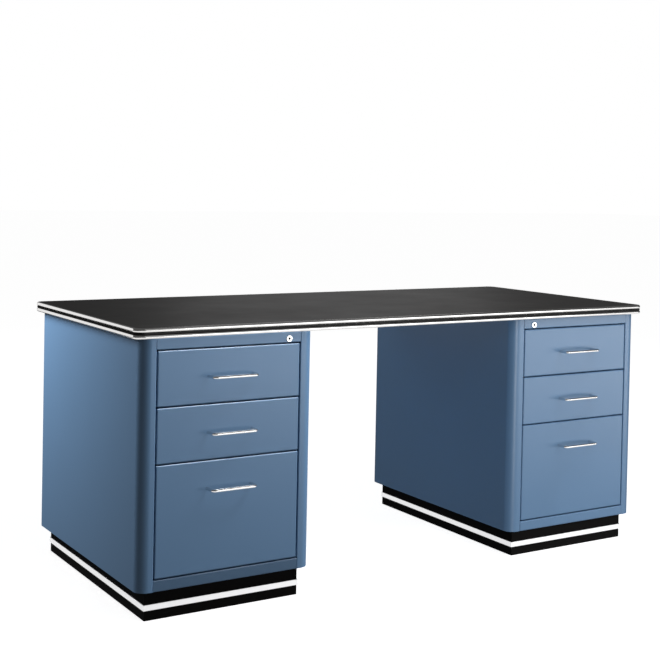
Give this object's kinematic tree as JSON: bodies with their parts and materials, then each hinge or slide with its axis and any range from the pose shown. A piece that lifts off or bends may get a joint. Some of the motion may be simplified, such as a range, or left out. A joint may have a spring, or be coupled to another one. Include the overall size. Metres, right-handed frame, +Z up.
{
  "type": "teacher desk",
  "caption": "Steel pedestal desk with a dark lined worktop, beaded metal edge trim, lockable drawers with bow handles and recessed plinths.",
  "frame": {"origin": "on the floor, at the centre of the box that holds the whole desk with its handles", "axes": "+Z up, +X along the desk's length to the right of someone sitting at the drawers' side, -Y towards that person"},
  "size_m": [1.75, 0.794, 0.75],
  "materials": {
    "blue_lacquer": "semi-gloss blue enamel",
    "black_lacquer": "black painted board",
    "black_lining": "matt charcoal linoleum",
    "black_insert": "black strip",
    "nickel": "bright nickel plate",
    "satin_metal": "polished strip",
    "zinc_steel": "zinc-plated sheet",
    "board": "raw board core"
  },
  "bodies": {
    "root": {"worktop_board": "board", "worktop_lining": "black_lining", "edge_trim": "nickel", "edge_insert": "black_insert", "left_pedestal_casing": "blue_lacquer", "left_pedestal_top_pan": "blue_lacquer", "left_pedestal_bottom_pan": "blue_lacquer", "left_plinth": "black_lacquer", "left_plinth_band": "satin_metal", "left_runner_frame": "zinc_steel", "left_lock_barrel": "nickel", "right_pedestal_casing": "blue_lacquer", "right_pedestal_top_pan": "blue_lacquer", "right_pedestal_bottom_pan": "blue_lacquer", "right_plinth": "black_lacquer", "right_plinth_band": "satin_metal", "right_runner_frame": "zinc_steel", "right_lock_barrel": "nickel"},
    "left_lock_plug": {"left_lock_plug": "nickel"},
    "left_lock_bar": {"left_lock_bar": "zinc_steel"},
    "left_file_drawer": {"left_file_drawer_front": "blue_lacquer", "left_file_drawer_box": "zinc_steel", "left_file_drawer_handle": "nickel", "left_file_drawer_rail_kneehole_side": "zinc_steel", "left_file_drawer_rail_outer_side": "zinc_steel", "left_file_drawer_catch": "zinc_steel"},
    "left_middle_drawer": {"left_middle_drawer_front": "blue_lacquer", "left_middle_drawer_box": "zinc_steel", "left_middle_drawer_handle": "nickel", "left_middle_drawer_rail_kneehole_side": "zinc_steel", "left_middle_drawer_rail_outer_side": "zinc_steel", "left_middle_drawer_catch": "zinc_steel"},
    "left_top_drawer": {"left_top_drawer_front": "blue_lacquer", "left_top_drawer_box": "zinc_steel", "left_top_drawer_handle": "nickel", "left_top_drawer_rail_kneehole_side": "zinc_steel", "left_top_drawer_rail_outer_side": "zinc_steel", "left_top_drawer_catch": "zinc_steel"},
    "right_lock_plug": {"right_lock_plug": "nickel"},
    "right_lock_bar": {"right_lock_bar": "zinc_steel"},
    "right_file_drawer": {"right_file_drawer_front": "blue_lacquer", "right_file_drawer_box": "zinc_steel", "right_file_drawer_handle": "nickel", "right_file_drawer_rail_kneehole_side": "zinc_steel", "right_file_drawer_rail_outer_side": "zinc_steel", "right_file_drawer_catch": "zinc_steel"},
    "right_middle_drawer": {"right_middle_drawer_front": "blue_lacquer", "right_middle_drawer_box": "zinc_steel", "right_middle_drawer_handle": "nickel", "right_middle_drawer_rail_kneehole_side": "zinc_steel", "right_middle_drawer_rail_outer_side": "zinc_steel", "right_middle_drawer_catch": "zinc_steel"},
    "right_top_drawer": {"right_top_drawer_front": "blue_lacquer", "right_top_drawer_box": "zinc_steel", "right_top_drawer_handle": "nickel", "right_top_drawer_rail_kneehole_side": "zinc_steel", "right_top_drawer_rail_outer_side": "zinc_steel", "right_top_drawer_catch": "zinc_steel"}
  },
  "joints": [
    {"name": "left_lock_turn", "type": "hinge", "parent": "root", "child": "left_lock_plug", "pos_m": [-0.4287, -0.358, 0.7035], "axis": [0, -1, 0], "range_deg": [0, 90]},
    {"name": "left_lock_bar_lift", "type": "slide", "parent": "root", "child": "left_lock_bar", "axis": [0, 0, 1], "range_m": [0, 0.00848]},
    {"name": "left_file_drawer_slide", "type": "slide", "parent": "root", "child": "left_file_drawer", "axis": [0, -1, 0], "range_m": [0, 0.5]},
    {"name": "left_middle_drawer_slide", "type": "slide", "parent": "root", "child": "left_middle_drawer", "axis": [0, -1, 0], "range_m": [0, 0.5]},
    {"name": "left_top_drawer_slide", "type": "slide", "parent": "root", "child": "left_top_drawer", "axis": [0, -1, 0], "range_m": [0, 0.5]},
    {"name": "right_lock_turn", "type": "hinge", "parent": "root", "child": "right_lock_plug", "pos_m": [0.4287, -0.358, 0.7035], "axis": [0, 1, 0], "range_deg": [0, 90]},
    {"name": "right_lock_bar_lift", "type": "slide", "parent": "root", "child": "right_lock_bar", "axis": [0, 0, 1], "range_m": [0, 0.00848]},
    {"name": "right_file_drawer_slide", "type": "slide", "parent": "root", "child": "right_file_drawer", "axis": [0, -1, 0], "range_m": [0, 0.5]},
    {"name": "right_middle_drawer_slide", "type": "slide", "parent": "root", "child": "right_middle_drawer", "axis": [0, -1, 0], "range_m": [0, 0.5]},
    {"name": "right_top_drawer_slide", "type": "slide", "parent": "root", "child": "right_top_drawer", "axis": [0, -1, 0], "range_m": [0, 0.5]}
  ],
  "couplings": [
    {"joint": "left_lock_turn", "follows": "left_lock_bar_lift", "rad_per_m": 185.12},
    {"joint": "right_lock_turn", "follows": "right_lock_bar_lift", "rad_per_m": 185.12}
  ]
}
